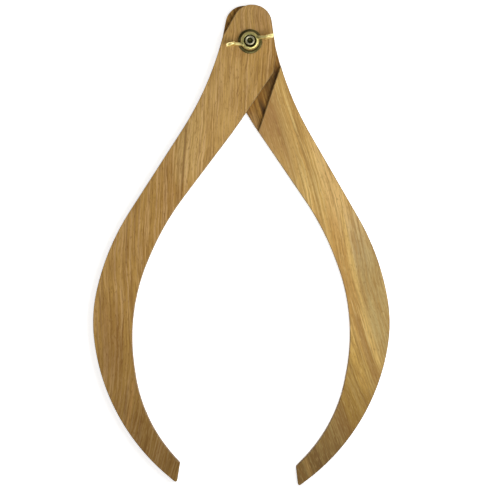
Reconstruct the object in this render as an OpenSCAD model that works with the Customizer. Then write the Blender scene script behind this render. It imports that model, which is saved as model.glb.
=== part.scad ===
// Wooden outside calipers: two bowed arms, half-lapped at their heads,
// that turn on one carriage bolt and are clamped by a washer and a wing nut.
// The tool lies flat with the wing nut upwards. The origin is on the bolt's
// axis, at the flat crown of its head. +Z points out of the wing nut, and +Y
// from the tips towards the heads.
//
// The right arm is the mirror image of the left one. Their outline is given for
// the closed tool, across from the middle line where the two tips meet, and
// down from the pivot. The pivot is drilled a little to one side of that line.

/* [Arms] */
// Thickness of the board that both arms are sawn from
arm_t = 10; // [8:0.5:12]
// Angle that the arms stand open from closed
opening = 15.6; // [1:0.1:60]
// Distance from the pivot down to the inner corner of each tip
reach = 267.5; // [262:0.1:274]
// Length of the flat measuring face on each tip, before its corners are eased
tip_face = 12.7; // [8:0.1:18]
// Radius that eases the outer corner of each tip
tip_outer_r = 1.1; // [0.3:0.1:3]
// Radius that eases the inner corner of each tip
tip_inner_r = 0.9; // [0.2:0.1:2]
// Distance from the middle line to the pivot
pivot_offset = 1.15; // [0.5:0.05:2]

/* [Half-lap joint] */
// Distance from the middle of the head square to each shoulder
shoulder_reach = 24; // [23:0.1:26]
// Lean of each shoulder from the middle line
shoulder_angle = 25; // [22:0.5:28]
// Play between a lap's edge and the shoulder that it closes on
shoulder_gap = 0.1; // [0.05:0.05:0.5]
// Gap between the two sliding faces of the lap
lap_gap = 0.1; // [0.05:0.05:0.4]
// Clearance round the bolt in the two arms
pivot_clearance = 0.08; // [0.03:0.01:0.1]

/* [Head of each arm] */
// Height of the round top above the pivot
head_top = 23.2; // [21:0.1:25]
// Radius of the round top
head_r = 11.7; // [8:0.1:11.8]
// Outer corner of the top before rounding, across
crown_outer = 7.8; // [6:0.1:9]
// Inner corner of the top before rounding, across
crown_inner = 9.9; // [9:0.1:11]
// Outer corner beside the pivot, across
waist_x = 16.3; // [14:0.1:17.5]
// Radius that eases that corner
waist_r = 7.5; // [5:0.5:20]
// Inner corner beside the pivot, across, where the upright cheek starts
cheek_x = 18.7; // [18:0.1:19.5]
// The same corner, down
cheek_y = 4.7; // [3:0.1:8]
// Radius that eases the top of the cheek
cheek_r = 4.5; // [2:0.5:6]
// Radius that eases the corner between cheek and lap edge
lap_corner_r = 2.9; // [0.5:0.1:4]

/* [Outer edge of each leg] */
// Neck corner, across
neck_x = 19.6; // [18.5:0.1:21]
// Neck corner, down
neck_y = 32.9; // [30:0.1:36]
// Radius of the hollow neck
neck_r = 202; // [100:1:230]
// Upper bow corner, across
bow_top_x = 67; // [64:0.1:68]
// Upper bow corner, down
bow_top_y = 141.6; // [136:0.1:147]
// Radius of the upper bow
bow_top_r = 153; // [100:1:170]
// Middle bow corner, across
bow_mid_x = 69.7; // [68.5:0.1:73]
// Middle bow corner, down
bow_mid_y = 184.2; // [178:0.1:190]
// Radius of the middle bow
bow_mid_r = 89; // [60:1:100]
// Lower bow corner, across
bow_low_x = 51.6; // [49:0.1:54]
// Lower bow corner, down
bow_low_y = 249.2; // [244:0.1:254]
// Radius of the lower bow
bow_low_r = 131; // [90:1:140]

/* [Inner edge of each leg] */
// Where the lap's edge ends and the leg's own inner edge starts, down
crotch_y = 53; // [48:0.5:57]
// Upper hollow corner, across
hollow_top_x = 34.3; // [32:0.1:36]
// Upper hollow corner, down
hollow_top_y = 121.3; // [116:0.1:126]
// Radius of the upper hollow
hollow_top_r = 173; // [120:1:180]
// Middle hollow corner, across
hollow_mid_x = 48.4; // [46:0.1:50]
// Middle hollow corner, down
hollow_mid_y = 179; // [174:0.5:185]
// Radius of the middle hollow
hollow_mid_r = 124; // [80:1:135]
// Lower hollow corner, across
hollow_low_x = 27.8; // [26:0.1:30]
// Lower hollow corner, down
hollow_low_y = 245.2; // [240:0.1:249]
// Radius of the lower hollow
hollow_low_r = 98; // [70:1:110]

/* [Carriage bolt] */
// Thread diameter of the bolt
bolt_d = 6; // [5:0.5:7]
// Length of the bolt below its head
bolt_len = 20; // [18.5:0.5:26]
// Diameter of the mushroom head
bolt_head_d = 16; // [13:0.5:20]
// Height of the mushroom head
bolt_head_h = 3.6; // [2.5:0.1:5]
// Height of the straight rim of the head
bolt_rim_h = 0.7; // [0.3:0.1:1.2]
// Diameter of the flat on the crown of the head
crown_flat_d = 7; // [4:0.5:9]
// Height of the square neck that is sunk in the wood
square_h = 3.2; // [1:0.1:4.5]
// Thread pitch, which is what the nut climbs in one turn
thread_pitch = 1; // [0.7:0.05:1.25]
// Diameter of the dimple in the threaded end
dimple_d = 2.7; // [1:0.1:3]
// Depth of the dimple
dimple_depth = 0.9; // [0.3:0.1:1.5]

/* [Washer] */
// Outer diameter of the washer
washer_d = 15.2; // [14:0.1:20]
// Thickness of the washer
washer_t = 1.2; // [0.8:0.1:2]
// Clearance round the bolt in the washer
washer_clearance = 0.1; // [0.05:0.05:0.3]

/* [Wing nut] */
// Height of the nut's round body
hub_h = 6; // [4:0.1:6.5]
// Diameter of the flange that the nut turns on
hub_base_d = 12.8; // [12:0.1:14]
// Diameter of the body at its top
hub_top_d = 11.4; // [10.6:0.1:12]
// Height of the flange
hub_flange_h = 1.4; // [0.8:0.1:2]
// Width of the countersink round the thread
countersink_w = 0.85; // [0.3:0.05:1.2]
// Depth of the countersink
countersink_depth = 0.9; // [0.4:0.1:1.5]
// Bevel round the top of the body
hub_bevel = 0.5; // [0.2:0.1:0.8]
// Clearance between the bolt and the nut's thread
thread_clearance = 0.05; // [0.02:0.01:0.1]
// Distance from the axis to the end of each wing
wing_reach = 15; // [13:0.1:18]
// Height of the wings above the washer
wing_h = 12; // [10:0.1:14]
// Sideways distance of each wing's web from the axis
wing_offset = 2.15; // [1.5:0.05:2.6]
// Thickness of each web
web_t = 1.1; // [0.8:0.05:1.6]
// Thickness of each ear
ear_t = 1.9; // [1.2:0.05:2.4]
// Radius of each round ear
ear_r = 3.4; // [2.5:0.1:4]
// Turn of each ear out of line with its web
ear_twist = 14; // [0:1:25]
// Radius of the saddle between the body and each ear
saddle_r = 6; // [5:0.1:7]
// Distance from the axis to the lowest point of the saddle
saddle_x = 3.5; // [3:0.1:4.2]
// Depth of the saddle below the top of the body
saddle_depth = 0.4; // [0.1:0.1:0.8]
// Turn of the whole nut as it is left
nut_angle = 1.4; // [-90:0.1:90]

/* [Hidden] */
$fn = 360;

// Heights of the stack along the bolt, from the crown of its head
arm_z = bolt_head_h;
lap_z = arm_z + arm_t / 2;
washer_z = arm_z + arm_t;
nut_z = washer_z + washer_t;
bolt_end_z = bolt_head_h + bolt_len;

// Depth of a metric thread as a share of its pitch
thread_share = 0.61;

// Sizes that follow the thread
bolt_r = bolt_d / 2;
pivot_hole_r = bolt_r + pivot_clearance;
nut_bore_d = bolt_d + 2 * thread_clearance;
thread_depth = thread_share * thread_pitch;
thread_z = washer_z + pivot_clearance;
thread_turns = floor((bolt_end_z - thread_z - thread_depth) / thread_pitch);

// A length that reaches past the whole tool, for cutting half planes
far = 2 * reach;

// Distance that a cut runs on past the face that it opens
past = 1;

// How much the disc that rounds a corner is oversize, and how far its wedge is widened
lens_oversize = 0.002;
lens_spread = 1;

cherry_red = "#AE8750";
cherry_yellow = "#BE965A";
plated_steel = "#A09A5A";
dull_steel = "#5F5A35";

// Point where the line through a and b crosses the line through c and d
function meet(a, b, c, d) =
    let (u = b - a, v = d - c)
    a + u * ((c.x - a.x) * v.y - (c.y - a.y) * v.x) / (u.x * v.y - u.y * v.x);

// Line that a lap's edge and its shoulder share, as its direction and a point on it
shoulder_run = [sin(shoulder_angle), cos(shoulder_angle)];
shoulder_foot = shoulder_reach * [cos(shoulder_angle), -sin(shoulder_angle)];

// Point of that line on the level or upright line through a point
function shoulder_at(point, run) = meet(shoulder_foot, shoulder_foot + shoulder_run, point, point + run);

lap_top = shoulder_at([cheek_x, 0], [0, 1]);
lap_end = shoulder_at([0, -crotch_y], [1, 0]);

// Corners of the left arm as [across, up, radius]
arm_corners = [
    [-crown_outer, head_top, head_r],
    [-waist_x, 0, waist_r],
    [-neck_x, -neck_y, neck_r],
    [-bow_top_x, -bow_top_y, bow_top_r],
    [-bow_mid_x, -bow_mid_y, bow_mid_r],
    [-bow_low_x, -bow_low_y, bow_low_r],
    [0, -reach - tip_face, tip_outer_r],
    [0, -reach, tip_inner_r],
    [-hollow_low_x, -hollow_low_y, hollow_low_r],
    [-hollow_mid_x, -hollow_mid_y, hollow_mid_r],
    [-hollow_top_x, -hollow_top_y, hollow_top_r],
    [lap_end.x, lap_end.y, 0],
    [lap_top.x, lap_top.y, lap_corner_r],
    [cheek_x, -cheek_y, cheek_r],
    [crown_inner, head_top, head_r]
];

function spot(corner) = [corner.x, corner.y];
function unit(v) = v / norm(v);
function cross_of(u, v) = u.x * v.y - u.y * v.x;

// Half of the turn that the outline makes at corner b, between a and c
function half_turn(a, b, c) =
    let (u = unit(spot(b) - spot(a)), v = unit(spot(c) - spot(b)))
    atan2(abs(cross_of(u, v)), u * v) / 2;

// Length of each edge that the rounding of its corner takes up
function setbacks(corners) =
    let (
        n = len(corners),
        wanted = [for (i = [0:n - 1])
            corners[i].z * tan(half_turn(corners[(i + n - 1) % n], corners[i], corners[(i + 1) % n]))],
        edges = [for (i = [0:n - 1]) norm(spot(corners[(i + 1) % n]) - spot(corners[i]))],
        spare = [for (i = [0:n - 1]) edges[i] / max(wanted[i] + wanted[(i + 1) % n], edges[i])]
    )
    [for (i = [0:n - 1]) wanted[i] * min(spare[i], spare[(i + n - 1) % n])];

// Round lens on one corner: the disc of the rounding, cut to a wedge that opens
// from a point behind the chord and runs a little past the chord's two ends.
// The disc is a hair oversize, so that it crosses both edges cleanly.
module corner_lens(start, corner, end) {
    half = half_turn(start, corner, end);
    setback = norm(corner - start);
    inward = unit((start + end) / 2 - corner);
    radius = setback / tan(half);
    centre = corner + inward * radius / cos(half);
    spread = min(lens_spread, setback / 3);
    wide_start = start + unit(start - corner) * spread;
    wide_end = end + unit(end - corner) * spread;
    depth = norm(wide_end - wide_start) / 16;
    back = (wide_start + wide_end) / 2 + inward * depth;
    intersection() {
        translate(centre) circle(radius + lens_oversize);
        polygon([back, back + 12 * (wide_start - back), back + 12 * (wide_end - back)]);
    }
}

// Polygon with each corner rounded by a true arc of its own radius
module rounded_outline(corners) {
    n = len(corners);
    back = setbacks(corners);
    into = [for (i = [0:n - 1]) unit(spot(corners[i]) - spot(corners[(i + n - 1) % n]))];
    starts = [for (i = [0:n - 1]) spot(corners[i]) - into[i] * back[i]];
    ends = [for (i = [0:n - 1]) spot(corners[i]) + into[(i + 1) % n] * back[i]];
    left_turn = [for (i = [0:n - 1]) cross_of(into[i], into[(i + 1) % n]) > 0];
    difference() {
        union() {
            polygon([for (i = [0:n - 1]) each back[i] > 0 ? [starts[i], ends[i]] : [starts[i]]]);
            for (i = [0:n - 1])
                if (back[i] > 0 && left_turn[i])
                    corner_lens(starts[i], spot(corners[i]), ends[i]);
        }
        for (i = [0:n - 1])
            if (back[i] > 0 && !left_turn[i])
                corner_lens(starts[i], spot(corners[i]), ends[i]);
    }
}

// Everything on the pivot's side of the right arm's shoulder
module lap_side() {
    rotate(-shoulder_angle)
        translate([shoulder_reach + shoulder_gap - far, -far / 2])
            square(far);
}

// Slab of one arm's board, or of the part that is sawn away for its lap
module slab(z, height) {
    translate([-pivot_offset, 0, z])
        linear_extrude(height)
            children();
}

module pivot_hole() {
    translate([0, 0, arm_z - past])
        cylinder(h = arm_t + 2 * past, r = pivot_hole_r);
}

// The front arm: its head keeps the upper half of the board
module left_arm() {
    color(cherry_red)
        rotate(-opening / 2)
            difference() {
                slab(arm_z, arm_t) rounded_outline(arm_corners);
                slab(arm_z - past, past + arm_t / 2 + lap_gap / 2) mirror([1, 0]) lap_side();
                pivot_hole();
            }
}

// The rear arm: its head keeps the lower half and holds the square neck
module right_arm() {
    color(cherry_yellow)
        rotate(opening / 2)
            difference() {
                slab(arm_z, arm_t) mirror([1, 0]) rounded_outline(arm_corners);
                slab(lap_z - lap_gap / 2, arm_t) lap_side();
                pivot_hole();
                square_neck();
            }
}

// Square under the bolt's head, which the wood grips
module square_neck() {
    translate([-bolt_r, -bolt_r, arm_z])
        cube([bolt_d, bolt_d, square_h]);
}

// Half section of the mushroom head, with a flat on its crown
module head_section() {
    rim_r = bolt_head_d / 2;
    flat_r = crown_flat_d / 2;
    dome_h = bolt_head_h - bolt_rim_h;
    dome_z = (rim_r ^ 2 + dome_h ^ 2 - flat_r ^ 2) / (2 * dome_h);
    intersection() {
        translate([0, dome_z]) circle(norm([flat_r, dome_z]));
        square([rim_r, dome_h]);
    }
    translate([0, dome_h]) square([rim_r, bolt_rim_h]);
}

// Half section of the shank, with a groove for each turn of the thread
module shank_section() {
    shank_z = arm_z - bolt_rim_h / 2;
    core_r = bolt_r - thread_depth;
    polygon([
        [0, shank_z],
        [bolt_r, shank_z],
        [bolt_r, thread_z],
        for (i = [0:thread_turns - 1])
            each [
                [core_r, thread_z + (i + 0.5) * thread_pitch],
                [bolt_r, thread_z + (i + 1) * thread_pitch]
            ],
        [bolt_r, bolt_end_z - thread_depth],
        [core_r, bolt_end_z],
        [0, bolt_end_z]
    ]);
}

// Round cut that widens up to the face that it opens, and runs on past it
module flared_cut(depth, low_d, top_d) {
    cylinder(h = depth + past, d1 = low_d, d2 = top_d + (top_d - low_d) * past / depth);
}

module carriage_bolt() {
    color(plated_steel)
        difference() {
            union() {
                rotate_extrude() {
                    head_section();
                    shank_section();
                }
                square_neck();
            }
            translate([0, 0, bolt_end_z - dimple_depth])
                flared_cut(dimple_depth, dimple_d / 2, dimple_d);
        }
}

module washer() {
    color(dull_steel)
        translate([0, 0, washer_z])
            difference() {
                cylinder(h = washer_t, d = washer_d);
                translate([0, 0, -past])
                    cylinder(h = washer_t + 2 * past, r = bolt_r + washer_clearance);
            }
}

// Half section of the nut's round body
module hub_section() {
    polygon([
        [0, 0],
        [hub_base_d / 2, 0],
        [hub_base_d / 2, hub_flange_h / 2],
        [hub_top_d / 2, hub_flange_h],
        [hub_top_d / 2, hub_h - hub_bevel],
        [hub_top_d / 2 - hub_bevel, hub_h],
        [0, hub_h]
    ]);
}

// One wing from above: a thin web beside the axis and a thicker ear, turned outwards
module wing_plan() {
    ear_x = wing_reach - 2 * ear_r + ear_t / 2;
    translate([0, wing_offset - web_t / 2])
        square([ear_x, web_t]);
    translate([ear_x, wing_offset])
        rotate(ear_twist) {
            circle(d = ear_t);
            translate([0, -ear_t / 2]) square([2 * ear_r, ear_t]);
        }
}

// One wing from the side: the round ear, and the web that sweeps down to the body
module wing_side() {
    ear_x = wing_reach - ear_r;
    ear_z = wing_h - ear_r;
    inside = 0.6 * ear_r;
    web_top = ear_z + 0.85 * ear_r;
    difference() {
        union() {
            translate([ear_x, ear_z]) circle(ear_r);
            polygon([
                [0, hub_flange_h / 2],
                [hub_top_d / 2, hub_flange_h / 2],
                [ear_x + inside, ear_z - inside],
                [ear_x, web_top],
                [0, web_top]
            ]);
        }
        translate([saddle_x, hub_h + saddle_r - saddle_depth]) circle(saddle_r);
        translate([-past, hub_h - saddle_depth]) square([saddle_x + 2 * past, wing_h]);
    }
}

module wing() {
    intersection() {
        linear_extrude(wing_h) wing_plan();
        translate([0, wing_reach, 0])
            rotate([90, 0, 0])
                linear_extrude(2 * wing_reach) wing_side();
    }
}

module wing_nut() {
    color(plated_steel)
        translate([0, 0, nut_z])
            rotate(nut_angle)
                difference() {
                    union() {
                        rotate_extrude() hub_section();
                        for (side = [0, 180]) rotate(side) wing();
                    }
                    translate([0, 0, -past])
                        cylinder(h = hub_h + 2 * past, d = nut_bore_d);
                    translate([0, 0, hub_h - countersink_depth])
                        flared_cut(countersink_depth, nut_bore_d, bolt_d + 2 * countersink_w);
                }
}

left_arm();
right_arm();
carriage_bolt();
washer();
wing_nut();
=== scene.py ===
# %% [markdown]
# # A pair of wooden outside calipers
#
# Two bowed arms are sawn from two cherry boards, half-lapped at their heads and turn on one
# carriage bolt, which a washer and a wing nut clamp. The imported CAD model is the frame: every
# piece below is built in metres at the place that it gives, and rides on one of its bodies.
# We build each solid first, then its finish, and light the whole thing at the end.

# %% The frame
import math

import bmesh
import bpy
from mathutils import Matrix, Vector


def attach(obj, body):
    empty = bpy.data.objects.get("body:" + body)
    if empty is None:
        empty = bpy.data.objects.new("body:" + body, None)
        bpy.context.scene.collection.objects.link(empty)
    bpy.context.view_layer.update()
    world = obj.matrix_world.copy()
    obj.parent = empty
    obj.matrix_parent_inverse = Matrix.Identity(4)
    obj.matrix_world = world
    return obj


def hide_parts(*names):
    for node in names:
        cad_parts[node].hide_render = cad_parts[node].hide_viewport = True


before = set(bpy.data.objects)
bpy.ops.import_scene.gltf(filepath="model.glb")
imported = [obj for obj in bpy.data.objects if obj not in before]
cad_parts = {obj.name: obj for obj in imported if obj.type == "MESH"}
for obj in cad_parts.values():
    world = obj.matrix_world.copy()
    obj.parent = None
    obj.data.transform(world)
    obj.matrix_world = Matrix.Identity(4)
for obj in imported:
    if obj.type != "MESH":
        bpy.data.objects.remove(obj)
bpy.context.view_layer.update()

MM = 0.001

# %% [markdown]
# ## Meshes from points
#
# Blender can turn a list of points and faces into a mesh in one call. The points are written
# in millimetres, because a maker thinks in them, and scaled once here. Modifiers such as a
# bevel are quick to write and stay editable; `settle` turns them into plain mesh where a later
# step needs the real faces.

# %% Mesh helpers
def solid(name, points, faces):
    """A smooth shaded object from points in millimetres."""
    mesh = bpy.data.meshes.new(name)
    mesh.from_pydata([Vector(p) * MM for p in points], [], faces)
    work = bmesh.new()
    work.from_mesh(mesh)
    bmesh.ops.remove_doubles(work, verts=work.verts, dist=0.002 * MM)
    bmesh.ops.recalc_face_normals(work, faces=work.faces)
    work.to_mesh(mesh)
    work.free()
    mesh.shade_smooth()
    made = bpy.data.objects.new(name, mesh)
    bpy.context.scene.collection.objects.link(made)
    return made


def modify(obj, kind, **settings):
    """Adds one modifier with its settings."""
    made = obj.modifiers.new(kind.lower(), kind)
    for key, value in settings.items():
        setattr(made, key, value)


def settle(obj):
    """Turns an object's modifiers into plain mesh."""
    graph = bpy.context.evaluated_depsgraph_get()
    mesh = bpy.data.meshes.new_from_object(obj.evaluated_get(graph))
    obj.modifiers.clear()
    obj.data = mesh


def carve(obj, *tools):
    """Cuts the tools out of an object, and throws the tools away."""
    for tool in tools:
        modify(obj, "BOOLEAN", object=tool, operation="DIFFERENCE", solver="EXACT")
    settle(obj)
    for tool in tools:
        bpy.data.objects.remove(tool)


def prism(name, outline, low, high):
    """A board with this outline between two heights."""
    n = len(outline)
    points = [(x, y, z) for z in (low, high) for x, y in outline]
    walls = [(i, (i + 1) % n, n + (i + 1) % n, n + i) for i in range(n)]
    return solid(name, points, [tuple(range(n - 1, -1, -1)), tuple(range(n, 2 * n))] + walls)


def turned(name, profile, steps=120, ring=False):
    """A form turned on the Z axis from a profile of (radius, height)."""
    n = len(profile)
    points, faces = [], []
    for k in range(steps):
        turn = 2 * math.pi * k / steps
        points += [(r * math.cos(turn), r * math.sin(turn), z) for r, z in profile]
    for k in range(steps):
        here, there = k * n, (k + 1) % steps * n
        for i in range(n if ring else n - 1):
            j = (i + 1) % n
            quad = [here + i, there + i, there + j, here + j]
            if profile[i][0] == 0:
                quad.remove(there + i)
            if profile[j][0] == 0:
                quad.remove(there + j)
            faces.append(tuple(quad))
    return solid(name, points, faces)


def arc(cx, cz, r, start, end, steps):
    """Points of a profile along an arc, with its angles in degrees."""
    turns = [math.radians(start + (end - start) * k / steps) for k in range(steps + 1)]
    return [(cx + r * math.cos(t), cz + r * math.sin(t)) for t in turns]


# %% [markdown]
# ## The outline of an arm
#
# On the real tool both arms are sawn to one pattern on a bandsaw and one is turned over, so
# one outline makes both. It is a polygon whose corners are rounded by large arcs, given for
# the closed tool: across from the line where the tips meet, up from the pivot. Sampling the
# arcs gives a smooth edge without a curve object, and keeps the same values as the CAD source.
# The whole outline is drawn in by a few thousandths of a millimetre, so that no sampled arc
# passes the solid that it stands for.

# %% Outline of the left arm
ARM_CORNERS = [
    (-7.8, 23.2, 11.7), (-16.3, 0, 7.5), (-19.6, -32.9, 202), (-67, -141.6, 153),
    (-69.7, -184.2, 89), (-51.6, -249.2, 131), (0, -280.2, 1.1), (0, -267.5, 0.9),
    (-27.8, -245.2, 98), (-48.4, -179, 124), (-34.3, -121.3, 173), (1.7702, -53, 0),
    (18.7, -16.6933, 2.9), (18.7, -4.7, 4.5), (9.9, 23.2, 11.7),
]
ARM_LOW, ARM_HIGH, LAP = 3.6, 13.6, 8.6  # rear face, front face, middle of the board
PIVOT_OFFSET, HALF_OPENING = 1.15, math.radians(7.8)
INSIDE = 0.99998


def rounded(corners, step):
    """Points of the outline; each corner (x, y, radius) becomes an arc, sampled every step."""
    n = len(corners)
    at = [Vector(c[:2]) for c in corners]
    run = [(at[i] - at[i - 1]).normalized() for i in range(n)]
    half = [abs(run[i].angle_signed(run[(i + 1) % n])) / 2 for i in range(n)]
    want = [corners[i][2] * math.tan(half[i]) for i in range(n)]
    edge = [(at[(i + 1) % n] - at[i]).length for i in range(n)]
    # an edge that is too short for the arcs at its two ends is shared between them
    spare = [edge[i] / max(want[i] + want[(i + 1) % n], edge[i]) for i in range(n)]
    points = []
    for i in range(n):
        back = want[i] * min(spare[i], spare[i - 1])
        if back == 0:
            points.append(at[i])
            continue
        start, end = at[i] - run[i] * back, at[i] + run[(i + 1) % n] * back
        inward = ((start + end) / 2 - at[i]).normalized()
        radius = back / math.tan(half[i])
        centre = at[i] + inward * radius / math.cos(half[i])
        count = max(4, math.ceil(radius * 2 * half[i] / step))
        sweep = (start - centre).angle_signed(end - centre)
        for k in range(count + 1):
            points.append(centre + Matrix.Rotation(-sweep * k / count, 2) @ (start - centre))
    return points


arm_outline = rounded(ARM_CORNERS, step=1.2)
print("points on the outline", len(arm_outline))

# %% [markdown]
# ## Two arms with a half lap
#
# The head of each arm keeps half of the board's thickness: the left one the front half, the
# right one the rear half. A straight saw cut at 25 degrees to the middle line makes the
# shoulder. A boolean cut is the same operation as the saw, so we cut a board with two solids:
# one for the lap and one for the bolt's hole. The right arm also gets the square hole in its
# rear face that the bolt's neck fills.

# %% Arms
LAP_GAP = 0.1  # air between the two faces of the lap
SHOULDER_REACH, SHOULDER_LEAN = 24.1, math.radians(25)  # how far from the pivot, and its lean
PIVOT_HOLE_R, NECK_HALF, NECK_SEAT = 3.08, 3, 6.8  # the hole, half the square, and its end
WASTE = 90  # how far the cutting solid reaches, well past the wood


def laid(point, side):
    """A point of the outline, moved to where the arm lies when the tool stands open."""
    x, y = side * point[0] - PIVOT_OFFSET, point[1]
    return Matrix.Rotation(-side * HALF_OPENING, 2) @ Vector((x, y))


def arm(name, side, lap_low, lap_high):
    """One arm; side is 1 for the left one and -1 for its mirror image."""
    along = Vector((math.sin(SHOULDER_LEAN), -math.cos(SHOULDER_LEAN)))
    out = Vector((-math.cos(SHOULDER_LEAN), -math.sin(SHOULDER_LEAN)))
    foot = out * SHOULDER_REACH
    end, other_end, depth = foot - along * WASTE, foot + along * WASTE, out * WASTE
    waste = [end, other_end, other_end - depth, end - depth]
    board = prism(name, [laid(p, side) * INSIDE for p in arm_outline], ARM_LOW, ARM_HIGH)
    lap = prism("lap_waste", [laid(p, side) for p in waste], lap_low, lap_high)
    circle = arc(0, 0, PIVOT_HOLE_R, 0, 357.5, 143)  # 144 points, 2.5 degrees apart
    hole = prism("pivot_waste", circle, ARM_LOW - 1, ARM_HIGH + 1)
    carve(board, lap, hole)
    return board


left_arm = arm("left_arm_wood", 1, ARM_LOW - 1, LAP + LAP_GAP / 2)
right_arm = arm("right_arm_wood", -1, LAP - LAP_GAP / 2, ARM_HIGH + 1)
square = [(x * NECK_HALF, y * NECK_HALF) for x, y in ((-1, -1), (1, -1), (1, 1), (-1, 1))]
carve(right_arm, prism("square_waste", square, ARM_LOW - 1, NECK_SEAT))

for obj in (left_arm, right_arm):
    print(obj.name, "faces", len(obj.data.polygons), [round(v / MM, 2) for v in obj.dimensions])

# %% [markdown]
# ## Planed, sawn and rubbed faces
#
# A plane leaves the broad faces smooth, the saw leaves the faces of the lap rough, and hands
# and sandpaper rub the arrises round. So every face gets the number of its finish. The floor
# of the lap is known by its height, and the shoulder because it is the one large wall near
# the pivot. A bevel of 0.4 mm then rounds every arris and numbers its own faces, and weighted
# normals keep the broad faces flat to the eye beside it.

# %% Sawn and rubbed faces
PLANED, SAWN, RUBBED = 0, 1, 2
ARRIS = 0.4


def ease(obj, lap_height, low, high):
    """Marks the sawn faces of the lap, between two heights, then eases every arris."""
    for face in obj.data.polygons:
        z = face.center.z / MM
        reach = face.center.to_2d().length / MM
        flat = abs(face.normal.z) > 0.9 and abs(z - lap_height) < 0.1
        shoulder = low < z < high and 20 < reach < 48 and face.area > 60 * MM * MM
        face.material_index = SAWN if flat or shoulder else PLANED
    modify(obj, "BEVEL", width=ARRIS * MM, segments=3, limit_method="ANGLE",
           angle_limit=math.radians(35), use_clamp_overlap=False, material=RUBBED)
    modify(obj, "WEIGHTED_NORMAL", weight=100, keep_sharp=False)


for obj in (left_arm, right_arm):
    for k in range(3):
        obj.data.materials.append(None)
ease(left_arm, LAP + LAP_GAP / 2, ARM_LOW, LAP)
ease(right_arm, LAP - LAP_GAP / 2, LAP, ARM_HIGH)

# %% [markdown]
# ## The carriage bolt
#
# A carriage bolt has a low mushroom head, a square neck that bites into the wood, and a rolled
# thread. Head and shank are turned from a profile. A real thread is a helix, so we sweep its
# 60 degree profile round the axis in one long strip that climbs 1 mm a turn. The strip's
# height and radius are held inside the chamfer at the end, which is how a thread runs out.
# Rolling leaves the end of the bolt slightly cupped, with a dimple in its middle that is painted
# dark as shade.

# %% Head and neck of the bolt
CROWN_R, CROWN_CENTRE = 10.948, 10.373


def dome(r):
    """Height of the mushroom head's crown at this radius."""
    return CROWN_CENTRE - math.sqrt(CROWN_R ** 2 - r * r)


# a small flat to stand on, the crown, the rim, and the shank up to the thread
head = [(0, 0), (1.8, 0), (3.3, 0)] + [(r / 10, dome(r / 10)) for r in range(36, 80, 4)]
head += arc(7.75, 3.0, 0.25, -35, 0, 3) + arc(7.8, 3.4, 0.2, 0, 90, 4)
head += [(3, 3.6), (3, 13.9), (0, 13.9)]
bolt_head = turned("bolt_head", head)

# the neck is a square of 5.9 mm whose corners are rounded by 0.45 mm
corner = [(2.5 + 0.45 * math.cos(t), 2.5 + 0.45 * math.sin(t)) for t in (0, 0.4, 0.8, 1.2, 1.57)]
quarters = [Matrix.Rotation(q * math.pi / 2, 2) for q in range(4)]
bolt_neck = prism("bolt_neck", [tuple(q @ Vector(p)) for q in quarters for p in corner], 3.4, 6.75)
print("bolt head", [round(v / MM, 2) for v in bolt_head.dimensions])

# %% Thread and end of the bolt
BOLT_R, ROOT_R, PITCH = 3.0, 2.39, 1.0
THREAD_LOW, BOLT_END, CHAMFER = 13.68, 23.6, 0.9
TURNS, STEPS_A_TURN = 11, 60
DIMPLE_R = 1.68

tooth = [(ROOT_R, 0), (ROOT_R, 0.18), (2.97, 0.52), (BOLT_R, 0.57), (BOLT_R, 0.63), (2.97, 0.68),
         (ROOT_R, 1)]
points, faces = [], []
for k in range(TURNS * STEPS_A_TURN + 1):
    turn = 2 * math.pi * k / STEPS_A_TURN
    for r, z in tooth:
        z = THREAD_LOW - 0.6 + PITCH * k / STEPS_A_TURN + z * PITCH
        z = min(max(z, THREAD_LOW), BOLT_END)
        r = min(r, BOLT_R - 0.8 * max(0, z - (BOLT_END - CHAMFER)))
        points.append((r * math.cos(turn), r * math.sin(turn), z))
for k in range(TURNS * STEPS_A_TURN):
    for i in range(len(tooth) - 1):
        a = k * len(tooth) + i
        faces.append((a, a + len(tooth), a + len(tooth) + 1, a + 1))
bolt_thread = solid("bolt_thread", points, faces)

cup = [(2.93, 22.9), (2.86, 23.2), (2.72, 23.42), (2.52, 23.55), (2.3, BOLT_END), (2.05, 23.56),
       (1.82, 23.42), (1.64, 23.2), (1.5, 22.9), (1.3, 22.6), (0.7, 22.45), (0, 22.4)]
bolt_end = turned("bolt_end", cup, 96)
# the dimple takes the thread's dark finish: painted shade
for face in bolt_end.data.polygons:
    face.material_index = 1 if face.center.to_2d().length < DIMPLE_R * MM else 0
print("heights", [round(o.dimensions.z / MM, 2) for o in (bolt_head, bolt_thread, bolt_end)])

# %% [markdown]
# ## The washer
#
# A washer is punched from sheet: the punch rounds the upper rim and leaves the lower rim sharp.
# A closed profile turned round the axis gives both in one go.

# %% Washer
WASHER_R, WASHER_HIGH, PUNCHED = 7.6, 14.8, 0.4

rim = arc(WASHER_R - PUNCHED, WASHER_HIGH - PUNCHED, PUNCHED, 90, 0, 6)
rim += [(WASHER_R, 13.75), (7.52, 13.62), (7.4, ARM_HIGH)]
bore = [(3.3, ARM_HIGH), (3.1, 13.8), (3.1, 14.6), (3.3, 14.79)]
washer = turned("washer_plate", rim + bore, 144, ring=True)
print("washer", [round(v / MM, 2) for v in washer.dimensions])

# %% [markdown]
# ## The wing nut
#
# A wing nut is cast in one piece, so every inner corner is filled with a soft radius and no
# edge is truly sharp. Its body is turned from a profile: a flange, a round wall, and a collar
# that falls outward as a shallow cone and catches the light in a crescent. We loft each wing
# through rounded sections: a thin web that leaves the body beside the axis, sweeps up in a
# saddle and swells into a round ear, turned a little out of line. Body and wings are then
# rebuilt as one skin of small voxels and relaxed, which fills the corners as the mould and
# the tumbling barrel do.

# %% Wings
NUT_LOW, NUT_TURN = 14.8, math.radians(1.4)
EAR_AT, EAR_RISE, EAR_R = 11.35, 8.6, 3.3  # the ear's middle, out from the axis and up
SECTION = 28  # points round a section


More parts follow.
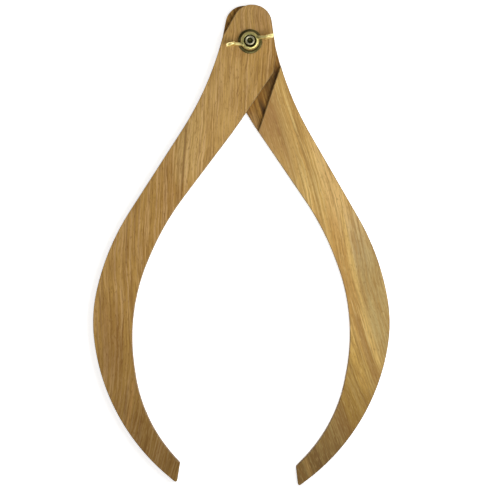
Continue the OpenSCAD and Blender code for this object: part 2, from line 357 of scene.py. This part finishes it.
def wing_section(x):
    """Rounded section of the wing at this distance from the axis, as (y, z) points."""
    saddle = 5.6 + 0.56 * max(0, x - 3.5)
    step = min(1, max(0, (x - 9.1) / 0.5))
    bulge = math.sqrt(max(0.02, EAR_R ** 2 - (x - EAR_AT) ** 2))
    high = saddle + step * (EAR_RISE + bulge - saddle)
    low = min(max(0.9, 0.7 + 0.738 * (x - 5.7)), EAR_RISE - bulge)
    swell = min(1, max(0, (x - 9.0) / 0.7))
    half = 1.0 + swell * (0.42 * min(1, 0.35 + bulge / EAR_R) - 0.1 * max(0, x - 12.8))
    middle = 2.1 + swell * (0.22 * (x - 9.15) - 0.25) + 0.42 * max(0, 5.2 - x)
    power = 2 / (4.5 - 2.4 * swell)  # a rounded box in the web, nearly an oval in the ear
    points = []
    for k in range(SECTION):
        c, s = math.cos(2 * math.pi * k / SECTION), math.sin(2 * math.pi * k / SECTION)
        points.append((middle + math.copysign(abs(c) ** power, c) * half,
                       (high + low) / 2 + math.copysign(abs(s) ** power, s) * (high - low) / 2))
    return points


def wing(name, turn):
    """A wing lofted through its sections and turned to its side of the body."""
    xs = [3.3 + 0.15 * k for k in range(38)] + [9.0 + 0.06 * k for k in range(20)]
    xs += [10.2 + 0.15 * k for k in range(28)] + [14.37, 14.48, 14.56, 14.62, 14.64]
    c, s = math.cos(turn), math.sin(turn)
    points, faces = [], []
    for x in xs:
        points += [(x * c - y * s, x * s + y * c, z + NUT_LOW) for y, z in wing_section(x)]
    for i in range(len(xs) - 1):
        for k in range(SECTION):
            here, there = i * SECTION + k, i * SECTION + (k + 1) % SECTION
            faces.append((here, there, there + SECTION, here + SECTION))
    last = (len(xs) - 1) * SECTION
    faces += [tuple(range(SECTION - 1, -1, -1)), tuple(range(last, last + SECTION))]
    return solid(name, points, faces)


wings = [wing("wing", NUT_TURN), wing("wing", NUT_TURN + math.pi)]
print("wing points", [len(obj.data.vertices) for obj in wings])

# %% Body and skin
VOXEL = 0.13  # in millimetres, like the skin until it is scaled

body = [(3.05, 0), (6.2, 0), (6.4, 0.2), (6.4, 0.6), (6.2, 0.95), (5.85, 1.35), (5.72, 1.9)]
body += [(5.68, 4.8)] + arc(4.66, 4.88, 1.02, 0, 84, 9)
body += [(4.02, 5.95), (3.88, 5.9), (3.8, 5.75), (3.72, 4.95), (3.5, 4.75), (3.05, 4.6)]
hub = turned("hub", [(r, z + NUT_LOW) for r, z in body], 160, ring=True)

skin = bmesh.new()
for obj in [hub] + wings:
    skin.from_mesh(obj.data)
    bpy.data.objects.remove(obj)
skin.transform(Matrix.Scale(1 / MM, 4))
casting = bpy.data.meshes.new("wing_nut_casting")
skin.to_mesh(casting)
skin.free()
wing_nut = bpy.data.objects.new("wing_nut_casting", casting)
bpy.context.scene.collection.objects.link(wing_nut)
modify(wing_nut, "REMESH", mode="VOXEL", voxel_size=VOXEL)
modify(wing_nut, "SMOOTH", factor=0.5, iterations=4)
settle(wing_nut)
wing_nut.data.transform(Matrix.Scale(MM, 4))
wing_nut.data.shade_smooth()
for face in wing_nut.data.polygons:
    reach, rise = face.center.to_2d().length / MM, face.center.z / MM - NUT_LOW
    # the bore and its countersink get a dark finish: painted shade
    threaded = reach < 3.75 and rise < 5.35
    # the flange takes the washer's darker finish: painted shade at the nut's foot
    flange = reach > 5.62 and rise < 1.5
    face.material_index = 1 if threaded else 2 if flange else 0
print("wing nut faces", len(wing_nut.data.polygons))
print("wing nut", [round(v / MM, 2) for v in wing_nut.dimensions])

# %% [markdown]
# ## Writing a finish
#
# A finish is a small tree of shader nodes. One helper adds a node of any kind, sets its own
# settings and fills its inputs with numbers or with the outputs of other nodes. Colours are
# written as the hex values that a paint chart or a screen would give, and turned to linear
# light once.

# %% Finish helpers
def tint(code):
    """Linear colour of an sRGB hex value."""
    parts = [int(code[i:i + 2], 16) / 255 for i in (1, 3, 5)]
    return [c / 12.92 if c <= 0.04045 else ((c + 0.055) / 1.055) ** 2.4 for c in parts] + [1]


def add(tree, kind, inputs=None, stops=None, **settings):
    """Adds a node with its settings, its ramp's stops and its inputs; returns it."""
    made = tree.nodes.new("ShaderNode" + kind)
    for key, value in settings.items():
        setattr(made, key, value)
    if stops:
        marks = made.color_ramp.elements
        while len(marks) < len(stops):
            marks.new(0.5)
        for mark, (place, colour) in zip(marks, stops):
            mark.position = place
            mark.color = tint(colour) if isinstance(colour, str) else [colour] * 3 + [1]
    for key, value in (inputs or {}).items():
        if isinstance(value, bpy.types.NodeSocket):
            tree.links.new(value, made.inputs[key])
        else:
            made.inputs[key].default_value = value
    return made


def finish(name):
    """A new material with an empty tree, its surface shader and its output."""
    material = bpy.data.materials.new(name)
    material.use_nodes = True
    tree = material.node_tree
    tree.nodes.clear()
    surface = add(tree, "BsdfPrincipled")
    add(tree, "OutputMaterial", {"Surface": surface.outputs[0]})
    return material, tree, surface


print("white paper is", [round(c, 3) for c in tint("#F4F4F4")], "in linear light")

# %% [markdown]
# ## Which way the grain runs
#
# Wood is a bundle of fibres, and nearly everything that we see on it is stretched along them.
# So we first make a space in which the fibres are straight: one number across the grain, one
# along it and one through the board. On this tool the grain of each arm wanders by a few
# degrees, so its sideways drift is worked out from the lean at several heights, and a curve
# node takes it off. Every pattern that we draw in that space then follows the real grain.

# %% Grain space
# (height in mm, lean in degrees; a positive lean carries the fibres to the left on the way down)
LEAN_LEFT = [(24, 2.5), (-75, 2.5), (-110, 0.7), (-165, -4.6), (-200, 0), (-228, 5.8),
             (-262, 13.6), (-281, 14)]
LEAN_RIGHT = [(24, -19), (-60, -18), (-118, -13.5), (-138, -12), (-162, -16), (-187, -18),
              (-215, -22), (-281, -23)]
TOP, BOTTOM = 24, -281  # heights of the heads and the tips
DRIFT = 120  # the curve node works from 0 to 1, which stands for this far to either side
KNOTS = 17


def drift(table, y):
    """Sideways distance in mm that the fibres have moved between the head and height y."""
    total, steps = 0, 60
    for k in range(steps):
        at = TOP + (y - TOP) * (k + 0.5) / steps
        for (y1, a1), (y2, a2) in zip(table, table[1:]):
            if y2 <= at <= y1:
                lean = a1 + (a2 - a1) * (y1 - at) / (y1 - y2)
        total += math.tan(math.radians(lean)) * (y - TOP) / steps
    return total


def grain_space(tree, table):
    """Outputs (across, along, through) in mm, in which the fibres run straight."""
    place = add(tree, "TexCoord").outputs["Object"]
    mm = add(tree, "VectorMath", {0: place, 1: (1 / MM, 1 / MM, 1 / MM)}, operation="MULTIPLY")
    part = add(tree, "SeparateXYZ", {0: mm.outputs[0]})
    share = add(tree, "MapRange", {0: part.outputs[1], 1: BOTTOM, 2: TOP}).outputs[0]
    curve = add(tree, "FloatCurve", {1: share})
    line = curve.mapping.curves[0]
    for k in range(KNOTS):
        y = BOTTOM + (TOP - BOTTOM) * k / (KNOTS - 1)
        spot = (k / (KNOTS - 1), 0.5 + drift(table, y) / DRIFT / 2)
        if k in (0, KNOTS - 1):
            line.points[min(k, 1)].location = spot
        else:
            line.points.new(*spot)
    curve.mapping.update()
    moved = add(tree, "MapRange", {0: curve.outputs[0], 3: -DRIFT, 4: DRIFT}).outputs[0]
    across = add(tree, "Math", {0: part.outputs[0], 1: moved}, operation="SUBTRACT").outputs[0]
    return across, part.outputs[1], part.outputs[2]


for side, table in (("left", LEAN_LEFT), ("right", LEAN_RIGHT)):
    print(side, "grain drifts", [round(drift(table, y), 1) for y in (0, -100, -200, -280)], "mm")

# %% [markdown]
# ## Marks in the wood
#
# All the small marks of wood are one kind of noise, squeezed across the grain and stretched
# along it, so one function makes them from their real width, length and depth. The long pale
# and dark streaks that give a board its face are single: each passes through one point,
# follows the fibres and fades out at two heights, with an edge as ragged as the fibres.

# %% Figure and streaks
def figure(tree, grain, width, length, depth, detail, rough, shift):
    """Noise whose marks are this wide across the grain, long along it and deep, in mm."""
    size = add(tree, "VectorMath", {0: grain, 1: (1 / width, 1 / length, 1 / depth)},
               operation="MULTIPLY").outputs[0]
    place = add(tree, "VectorMath", {0: size, 1: (shift, shift * 1.7, shift * 0.6)},
                operation="ADD").outputs[0]
    noise = {"Vector": place, "Scale": 1.0, "Detail": detail, "Roughness": rough}
    return add(tree, "TexNoise", noise).outputs[0]


def marks(tree, grain, size, low, high, most, shift):
    """Mask from a figure of this size: 0 below the low value, most above the high one."""
    noise = figure(tree, grain, *size, 1.0, 0.5, shift)
    return add(tree, "MapRange", {0: noise, 1: low, 2: high, 4: most}).outputs[0]


def streak(tree, across, along, table, row, ragged):
    """Mask of one long soft mark that passes through (x, y) and ends at two heights."""
    x, y, width, top, bottom, fade, _, amount = row
    away = add(tree, "Math", {0: across, 1: x - drift(table, y)}, operation="SUBTRACT").outputs[0]
    away = add(tree, "Math", {0: away}, operation="ABSOLUTE").outputs[0]
    edges = [(along, top + fade, top - fade), (along, bottom - fade, bottom + fade),
             (away, width * 1.3, width * 0.4)]
    sides = [add(tree, "MapRange", {0: value, 1: out, 2: within}, interpolation_type="SMOOTHSTEP")
             for value, out, within in edges]
    mask = sides[0].outputs[0]
    for other in (sides[1].outputs[0], sides[2].outputs[0]):
        mask = add(tree, "Math", {0: mask, 1: other}, operation="MULTIPLY").outputs[0]
    mask = add(tree, "Math", {0: mask, 1: ragged}, operation="MULTIPLY", use_clamp=True).outputs[0]
    return add(tree, "Math", {0: mask, 1: amount}, operation="MULTIPLY").outputs[0]


def paint(tree, colour, coats):
    """Lays coats of (mask, shade) over a colour, one after the other."""
    for mask, shade in coats:
        coat = add(tree, "Mix", {0: mask, 6: colour, 7: tint(shade)}, data_type="RGBA")
        colour = coat.outputs[2]
    return colour


print("the fibre through (-37, -63) starts at x", round(-37 - drift(LEAN_LEFT, -63), 1), "mm")

# %% [markdown]
# ## Cherry, planed, sawn and rubbed
#
# Cherry is a fine, close-grained wood. From coarse to fine a planed board shows: soft bands
# about 9 mm wide; darker growth lines 1.4 mm wide with a paler gleam beside them; short dark
# pores; and fibres. Fibres and pores are really 0.1 mm and less, too fine for the picture, and
# are drawn 0.9 mm and 0.6 mm wide so that they show. The lines sway by a few millimetres,
# because no tree grows straight. Towards the tips the wood is painted darker, as painted shade
# where the light falls off. Where the saw has cut across the fibres they swallow light, so the
# end grain is darker; the narrow side walls are painted darker as well, as painted shade.
#
# The wood isn't varnished: it starts from the roughness of a planed board, about 0.6, and the
# usual IOR of 1.5, and its specular level is lowered because open fibres shine less. A sawn
# face is rougher and has the marks of the teeth across it; a rubbed arris is smoother.

# %% Cherry
# painted shade: the colour that darkens the wood towards the tips, where the light falls off
TIP_SHADE = "#503600"


def cherry(name, table, shades, streaks, shift, tips, rough=0.62, sawn=0.0):
    """Cherry whose fibres lean as the table says; tips is how much painted shade darkens its tip.
    """
    shine, pale, middle, dark, line = shades
    material, tree, surface = finish(name)
    across, along, through = grain_space(tree, table)
    plain = add(tree, "CombineXYZ", {0: across, 1: along, 2: through}).outputs[0]

    # the fibres sway by up to 7 mm, wriggle by up to 1 mm, and lean a little through the board
    sway = figure(tree, plain, 26, 70, 40, 1.0, 0.5, shift)
    wriggle = figure(tree, plain, 4, 9, 8, 1.0, 0.5, shift + 3)
    swayed = across
    for bend, amount in ((sway, 7.0), (wriggle, 1.1), (through, 0.3)):
        bent = add(tree, "Math", {0: bend, 1: amount, 2: swayed}, operation="MULTIPLY_ADD")
        swayed = bent.outputs[0]
    grain = add(tree, "CombineXYZ", {0: swayed, 1: along, 2: through}).outputs[0]

    # broad bands under everything
    bands = figure(tree, grain, 9, 300, 30, 2.0, 0.55, shift)
    stops = [(0.22, dark), (0.5, middle), (0.78, pale)]
    colour = add(tree, "ValToRGB", {0: bands}, stops=stops).outputs[0]

    # growth lines, the gleam beside them, and painted shade that darkens the wood from the bow to
    # the tip
    rings = marks(tree, grain, (1.4, 60, 14), 0.48, 0.64, 0.36, shift + 5)
    gleam = marks(tree, grain, (1.1, 45, 14), 0.5, 0.66, 0.55, shift + 31)
    tip_shade = add(tree, "MapRange", {0: along, 1: -178.0, 2: -264.0, 4: tips}).outputs[0]
    coats = [(rings, line), (gleam, shine), (tip_shade, TIP_SHADE)]

    # single streaks, as ragged as the fibres
    fibres = figure(tree, grain, 0.9, 16, 2.5, 2.0, 0.6, shift + 9)
    ragged = add(tree, "MapRange", {0: fibres, 1: 0.3, 2: 0.6, 3: 0.35, 4: 1.25}).outputs[0]
    coats += [(streak(tree, across, along, table, row, ragged), row[6]) for row in streaks]

    # fibres, pores and bright flecks
    threads = add(tree, "MapRange", {0: fibres, 1: 0.32, 2: 0.58, 3: 0.42, 4: 0.0}).outputs[0]
    pores = marks(tree, grain, (0.6, 2.6, 0.6), 0.58, 0.74, 0.45, shift + 13)
    flecks = marks(tree, grain, (0.6, 4, 1.5), 0.54, 0.74, 0.2, shift + 17)
    coats += [(threads, line), (pores, line), (flecks, shine)]

    # painted shade on the narrow side walls, darker than the broad faces; end grain darker still
    normal = add(tree, "SeparateXYZ", {0: add(tree, "TexCoord").outputs["Normal"]})
    ends = add(tree, "Math", {0: normal.outputs[1], 1: 2.0}, operation="POWER").outputs[0]
    flats = add(tree, "Math", {0: normal.outputs[2], 1: 2.0}, operation="POWER").outputs[0]
    walls = add(tree, "Math", {0: flats, 1: -0.34, 2: 0.34}, operation="MULTIPLY_ADD").outputs[0]
    cut = add(tree, "Math", {0: ends, 1: 0.16, 2: walls}, operation="MULTIPLY_ADD").outputs[0]
    colour = paint(tree, colour, coats + [(cut, line)])

    # large soft clouds
    mottle = figure(tree, plain, 30, 60, 30, 2.0, 0.5, shift + 21)
    cloud = add(tree, "ValToRGB", {0: mottle}, stops=[(0.3, 0.93), (0.7, 1.0)]).outputs[0]
    colour = add(tree, "Mix", {0: 1.0, 6: colour, 7: cloud}, data_type="RGBA",
                 blend_type="MULTIPLY")
    tree.links.new(colour.outputs[2], surface.inputs["Base Color"])

    # sheen and relief
    dull = add(tree, "MapRange", {0: fibres, 1: 0.3, 2: 0.7, 3: rough + 0.08, 4: rough - 0.05})
    tree.links.new(dull.outputs[0], surface.inputs["Roughness"])
    surface.inputs["IOR"].default_value = 1.5
    surface.inputs["Specular IOR Level"].default_value = 0.3
    height = add(tree, "Math", {0: fibres, 1: pores}, operation="SUBTRACT").outputs[0]
    if sawn:
        kerf = figure(tree, plain, 30, 0.9, 30, 1.0, 0.5, shift)
        height = add(tree, "Math", {0: kerf, 1: height}, operation="ADD").outputs[0]
    relief = add(tree, "Bump", {"Height": height, "Distance": (0.05 + sawn) * MM, "Strength": 0.5})
    tree.links.new(relief.outputs[0], surface.inputs["Normal"])
    return material


# %% [markdown]
# ## The faces of these two boards
#
# The left arm's board is a redder brown with straight lines. The right one is yellower, with
# a grey green band down its bow and a darker zone beside its shoulder. Its recess is painted
# dark, as the shade that falls in it: darkest along the shoulder and paler near its point. Each
# row is one streak: the point (x, y) that it passes through, its width, its top and bottom, how
# softly it ends, all in mm, its shade and how strong it is.

# %% Streaks and shades
LEFT_STREAKS = [
    # painted light: this first streak lifts the shadow of the nut's wing on the head
    (7.8, 13, 5.0, 34, -2, 8, "#C79B68", 0.35),
    (-37.3, -63, 9.0, -44, -86, 10, "#E8C884", 0.22),
    (-22.0, -30, 26.0, 40, -84, 18, "#E2BC76", 0.26),
    (-39.3, -70, 0.8, -52, -96, 5, "#86602A", 0.75),
    (-37.9, -84, 0.7, -74, -98, 4, "#D4AC6E", 0.7),
    (-61.2, -110, 1.0, -90, -126, 6, "#D0A667", 0.75),
    (-69.4, -120, 0.5, -103, -140, 5, "#8A6029", 0.6),
    (-74.2, -120, 0.5, -112, -130, 4, "#8A6029", 0.6),
    (-77.3, -131, 0.8, -122, -142, 5, "#C79C5C", 0.6),
    (-86.5, -146, 1.1, -137, -156, 4, "#C99E5E", 0.6),
    (-85.9, -170, 0.9, -163, -185, 5, "#C79B5A", 0.6),
    (-89.6, -168, 0.6, -160, -181, 5, "#7E5723", 0.6),
    (-69.0, -228, 0.9, -214, -242, 5, "#C39450", 0.7),
    (-72.2, -226, 0.8, -218, -236, 4, "#74501F", 0.6),
    (-82.0, -185, 7.0, -168, -212, 12, "#8C5E22", 0.35),
    (-82.0, -149, 6.0, -142, -158, 8, "#D2A65C", 0.2),
]
RIGHT_STREAKS = [
    (13.0, -56, 13.0, 60, -72, 30, "#9E6E3B", 0.7),
    (70.9, -215, 16.0, -190, -285, 14, "#A47C16", 0.42),
    (71.2, -122.5, 7.0, -106, -138, 10, "#DCC090", 0.4),
    (52.5, -86, 7.0, -45, -116, 14, "#F6CF87", 0.48),
    (63.0, -150, 4.0, -105, -175, 14, "#B98638", 0.5),
    (80.0, -150, 9.0, -116, -196, 20, "#A8925C", 0.62),
    (70.4, -150.6, 1.4, -106, -205, 8, "#E0BA68", 0.65),
    (76.5, -190, 0.7, -160, -206, 8, "#E8C478", 0.9),
    (74.0, -180, 2.2, -168, -210, 6, "#90601C", 0.6),
    (69.5, -192, 4.0, -176, -216, 6, "#D8AE56", 0.55),
    (61.5, -232, 5.0, -222, -246, 6, "#7C5420", 0.5),
    (46.8, -254.5, 1.4, -240, -275, 4, "#6E4C1C", 0.7),
    (40.7, -260.9, 1.8, -240, -275, 4, "#C49C56", 0.4),
    (33.5, -262, 1.2, -250, -275, 4, "#6E4C1C", 0.6),
]
LAP_STREAKS = [
    # painted shade in the recess: dark along the shoulder, paler near its point
    (15.0, -24, 8.0, -16, -47, 6, "#3E2606", 0.8),
    (8.7, -40.5, 1.6, -36, -48, 3, "#35200A", 0.85),
    (4.0, -49, 3.0, -44, -56, 4, "#B8925A", 0.6),
]
# shades from pale to dark: gleam, pale band, middle, dark band, line
left_shades = ("#DEB57A", "#C59B50", "#B98E43", "#AD8038", "#744812")
right_shades = ("#F4D688", "#DFBB6C", "#D1A75A", "#C6994E", "#825622")
# the arris is paler partly from wear and partly as painted highlight on the rounded edge
arris_wear_and_highlight_shades = ("#CDAE72", "#C0A066", "#B29058", "#A28048", "#6E5424")
# the sawn faces are darker, partly as rough sawn wood and partly as painted shade in the recess
lap_shades = ("#C99B49", "#BB8C3D", "#AA7931", "#926325", "#452E0C")
print("streaks", len(LEFT_STREAKS), len(RIGHT_STREAKS), len(LAP_STREAKS))

# %% Six cherry finishes
# planed: soft satin sheen; sawn: dull, with fine ridges;
# rubbed arris: smoother, and paler partly from wear and partly as painted highlight
left_cherry = cherry("left_arm_planed_cherry", LEAN_LEFT, left_shades, LEFT_STREAKS, 2.0, 0.5)
left_sawn = cherry("left_arm_sawn_cherry", LEAN_LEFT, lap_shades, [], 2.0, 0.0, 0.7, sawn=0.08)
left_arris_wear_and_highlight = cherry("left_arm_arris_wear_and_highlight", LEAN_LEFT, arris_wear_and_highlight_shades, [], 2.0, 0.5, 0.55)
right_cherry = cherry("right_arm_planed_cherry", LEAN_RIGHT, right_shades, RIGHT_STREAKS, 11.0,
                      0.75)
right_sawn = cherry("right_arm_sawn_cherry", LEAN_RIGHT, lap_shades, LAP_STREAKS, 11.0, 0.0, 0.7,
                    sawn=0.08)
right_arris_wear_and_highlight = cherry("right_arm_arris_wear_and_highlight", LEAN_RIGHT, arris_wear_and_highlight_shades, [], 11.0, 0.75, 0.55)
print("nodes", [len(m.node_tree.nodes) for m in (left_cherry, left_sawn, right_cherry)])

# %% [markdown]
# ## Yellow plated steel
#
# Bolt, washer and nut are steel with a thin zinc coat that a chromate bath turned yellow. It
# gives the eye a soft metal shine whose colour drifts between brass and olive in patches about
# 3 mm wide, duller on the stamped washer than on the tumbled nut, with specks of dirt. The
# washer and the nut's flange are also painted darker, as painted shade. The real grain of such
# plating is some hundredths of a millimetre; it is drawn a third of a millimetre wide so that
# it shows. The nut's wings are painted paler, as a painted highlight. The bore, the thread and
# the dimple at the bolt's end are painted dark, as painted shade. A metal keeps its default
# IOR; its colour is the base colour.

# %% Plating
PATCHES, SPECKS, GRAIN = 0.35, 2.4, 3.0  # how many to a millimetre


def plated(name, bright, dull, dirt, rough, pit, wash, rubbed=None):
    """Yellow plated steel; wash is the share of the dull colour, pit the depth of its grain;
    rubbed is a paler colour laid outward from the axis, a painted highlight.
    """
    material, tree, surface = finish(name)
    place = add(tree, "TexCoord").outputs["Object"]
    mm = add(tree, "VectorMath", {0: place, 1: (1 / MM, 1 / MM, 1 / MM)}, operation="MULTIPLY")
    mm = mm.outputs[0]
    noise = {"Vector": mm, "Scale": PATCHES, "Detail": 2.0, "Roughness": 0.5}
    cloud = add(tree, "TexNoise", noise).outputs[0]
    share = {0: cloud, 1: 0.7 - wash * 0.4, 2: 0.4 - wash * 0.4, 3: 1.0, 4: 0.0}
    coats = [(add(tree, "MapRange", share).outputs[0], dull)]
    noise = {"Vector": mm, "Scale": SPECKS, "Detail": 4.0, "Roughness": 0.7}
    specks = add(tree, "TexNoise", noise).outputs[0]
    coats.append((add(tree, "MapRange", {0: specks, 1: 0.58, 2: 0.8, 4: 0.35}).outputs[0], dirt))
    # painted highlight: paler outward from the axis, over the nut's wings
    if rubbed:
        flat = add(tree, "VectorMath", {0: mm, 1: (1, 1, 0)}, operation="MULTIPLY").outputs[0]
        reach = add(tree, "VectorMath", {0: flat}, operation="LENGTH").outputs["Value"]
        coats.append((add(tree, "MapRange", {0: reach, 1: 4.0, 2: 7.6}).outputs[0], rubbed))
    tree.links.new(paint(tree, tint(bright), coats), surface.inputs["Base Color"])
    surface.inputs["Metallic"].default_value = 1.0
    worn = add(tree, "MapRange", {0: specks, 1: 0.3, 2: 0.7, 3: rough - 0.04, 4: rough + 0.08})
    tree.links.new(worn.outputs[0], surface.inputs["Roughness"])
    noise = {"Vector": mm, "Scale": GRAIN, "Detail": 3.0, "Roughness": 0.55}
    grit = add(tree, "TexNoise", noise).outputs[0]
    relief = add(tree, "Bump", {"Height": grit, "Distance": pit * MM, "Strength": 0.5})
    tree.links.new(relief.outputs[0], surface.inputs["Normal"])
    return material


PLATINGS = {  # bright, dull, dirt, roughness, depth of grain in mm, share of the dull colour
    # smooth from the rolling dies: a pale grey gold that mirrors the room
    "rolled_yellow_plated_steel": ("#AEAA8C", "#9C9778", "#6A6038", 0.32, 0.01, 0.1),
    # painted shade on the thread in the nut's bore and in the dimple at the bolt's end: a dark
    # olive
    "thread_in_painted_shade": ("#4E4C26", "#343216", "#1E180A", 0.45, 0.01, 0.5),
    # matt and grainy from the press: a brown olive with little shine, darker than the nut
    # partly as painted shade; the nut's flange wears it too, as painted shade
    "stamped_plating_with_painted_shade": ("#6E6842", "#4E492A", "#241F0C", 0.4, 0.02, 0.5),
    # tumbled smooth after casting: soft brass, painted paler over the wings as a painted highlight
    "cast_yellow_plated_steel": ("#B4AC6C", "#968E54", "#504A1E", 0.38, 0.006, 0.3, "#FCEBA0"),
    # painted shade in the nut's bore and countersink: a dull brown
    "painted_shade_in_the_bore": ("#7C6A42", "#5C4C2A", "#342812", 0.6, 0.03, 0.5),
}
steels = [plated(name, *look) for name, look in PLATINGS.items()]
bolt_plating, thread_shade_plating, washer_plating_with_painted_shade, nut_plating, bore_shade_plating = steels
print("platings", [material.name for material in steels])

# %% [markdown]
# ## Putting the pieces together
#
# Each piece now gets its finish, takes the place of its solid, and rides on the body that
# carries it, so that it swings or turns with the joint.

# %% Assembly
def fit(obj, materials, body, node):
    """Finishes a piece and hangs it on its body in place of its solid."""
    for k, material in enumerate(materials):
        if k < len(obj.data.materials):
            obj.data.materials[k] = material
        else:
            obj.data.materials.append(material)
    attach(obj, body)
    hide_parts(node)


fit(left_arm, [left_cherry, left_sawn, left_arris_wear_and_highlight], "front_arm", "left_arm")
fit(right_arm, [right_cherry, right_sawn, right_arris_wear_and_highlight], "rear_arm", "right_arm")
fit(bolt_head, [bolt_plating], "rear_arm", "carriage_bolt")
fit(bolt_neck, [bolt_plating], "rear_arm", "carriage_bolt")
fit(bolt_thread, [thread_shade_plating], "rear_arm", "carriage_bolt")
fit(bolt_end, [bolt_plating, thread_shade_plating], "rear_arm", "carriage_bolt")
fit(washer, [washer_plating_with_painted_shade], "washer", "washer")
fit(wing_nut, [nut_plating, bore_shade_plating, washer_plating_with_painted_shade], "nut", "wing_nut")

# %% [markdown]
# ## Floor, light and camera
#
# The tool lies on white paper. It rests on the head of its bolt and on its two tips, so the
# floor leans by 0.75 degree to touch all three. Paper is matt and nearly white; a glow that
# only the camera and the mirrors see lifts it to full white, and the shadows stay.

# %% Stage
FLOOR_LEAN = math.tan(math.radians(0.75))
LOW_EDGE = 0.0035  # the bolt's head touches the floor this many metres below the pivot

corners = [(x, y, -FLOOR_LEAN * (y + LOW_EDGE)) for x, y in ((-4, -4), (4, -4), (4, 4), (-4, 4))]
floor_mesh = bpy.data.meshes.new("floor")
floor_mesh.from_pydata(corners, [], [(0, 1, 2, 3)])
floor = bpy.data.objects.new("floor", floor_mesh)
bpy.context.scene.collection.objects.link(floor)

paper, tree, surface = finish("white_paper")
surface.inputs["Base Color"].default_value = tint("#F4F4F4")
surface.inputs["Roughness"].default_value = 0.9
surface.inputs["Specular IOR Level"].default_value = 0.1
surface.inputs["Emission Color"].default_value = (1, 1, 1, 1)
rays = add(tree, "LightPath").outputs
seen = add(tree, "Math", {0: rays["Is Camera Ray"], 1: rays["Is Glossy Ray"]}, operation="ADD")
seen = add(tree, "Math", {0: seen.outputs[0], 1: rays["Is Transmission Ray"]}, operation="ADD",
           use_clamp=True)
glow = add(tree, "Math", {0: seen.outputs[0], 1: 0.7}, operation="MULTIPLY")
tree.links.new(glow.outputs[0], surface.inputs["Emission Strength"])
floor.data.materials.append(paper)
print("floor at the tips in mm", round(-FLOOR_LEAN * (-0.2768 + LOW_EDGE) / MM, 2))

# %% [markdown]
# A large soft lamp stands behind the heads. A small one at the lower right draws the bright
# crescent on the nut's collar and the soft shadows to the upper left. The walls of the room
# are white at the height of the table and darker above it, where the camera hangs, and toward
# the upper left, which gives the metal something to reflect.

# %% Lamps and room
LAMPS_FACE = Vector((0, -0.1, 0))  # a point between the bows


def lamp(name, place, size, power):
    """A square softbox that faces the tool."""
    made = bpy.data.objects.new(name, bpy.data.lights.new(name, "AREA"))
    made.data.shape = "SQUARE"
    made.data.size = size
    made.data.energy = power
    made.location = place
    toward = LAMPS_FACE - Vector(place)
    made.rotation_euler = toward.to_track_quat("-Z", "Y").to_euler()
    made.visible_camera = False
    bpy.context.scene.collection.objects.link(made)


lamp("head_softbox", (-0.1, 0.35, 0.75), 0.9, 0.75)
lamp("lower_right_softbox", (0.125, -0.115, 0.42), 0.18, 1.04)

room = bpy.data.worlds.new("white_room")
bpy.context.scene.world = room
room.use_nodes = True
tree = room.node_tree
tree.nodes.clear()
direction = add(tree, "TexCoord").outputs["Generated"]
upward = add(tree, "SeparateXYZ", {0: direction}).outputs[2]
greys = [(0.08, 1.0), (0.35, 0.8), (0.75, 0.3), (0.95, 0.12)]
walls = add(tree, "ValToRGB", {0: upward}, stops=greys).outputs[0]
toward = add(tree, "VectorMath", {0: direction, 1: (-0.6, 0.8, 0)}, operation="DOT_PRODUCT")
darker = add(tree, "MapRange", {0: toward.outputs["Value"], 1: -0.3, 2: 0.8, 3: 1.05, 4: 0.28})
walls = add(tree, "Mix", {0: 1.0, 6: walls, 7: darker.outputs[0]}, data_type="RGBA",
            blend_type="MULTIPLY")
back = add(tree, "Background", {"Color": walls.outputs[2], "Strength": 1.0})
add(tree, "OutputWorld", {"Surface": back.outputs[0]})

# %% [markdown]
# The camera looks straight down from 1.7 m above the arms' faces. The picture's frame is
# square and 312.75 mm wide at that distance, and the tool lies 1.4 degrees clockwise in it.

# %% Camera
PICTURE_WIDTH, PICTURE_DISTANCE = 0.31275, 1.7
PICTURE_MIDDLE, PICTURE_TURN = (0.00316, -0.13038), 1.39

camera = bpy.data.objects.new("camera", bpy.data.cameras.new("camera"))
camera.data.sensor_width = 36
camera.data.lens = 36 * PICTURE_DISTANCE / PICTURE_WIDTH
camera.location = (*PICTURE_MIDDLE, ARM_HIGH * MM + PICTURE_DISTANCE)
camera.rotation_euler = (0, 0, math.radians(PICTURE_TURN))
bpy.context.scene.collection.objects.link(camera)
bpy.context.scene.camera = camera
bpy.context.scene.view_settings.view_transform = "Standard"
print("lens", round(camera.data.lens, 1), "mm")
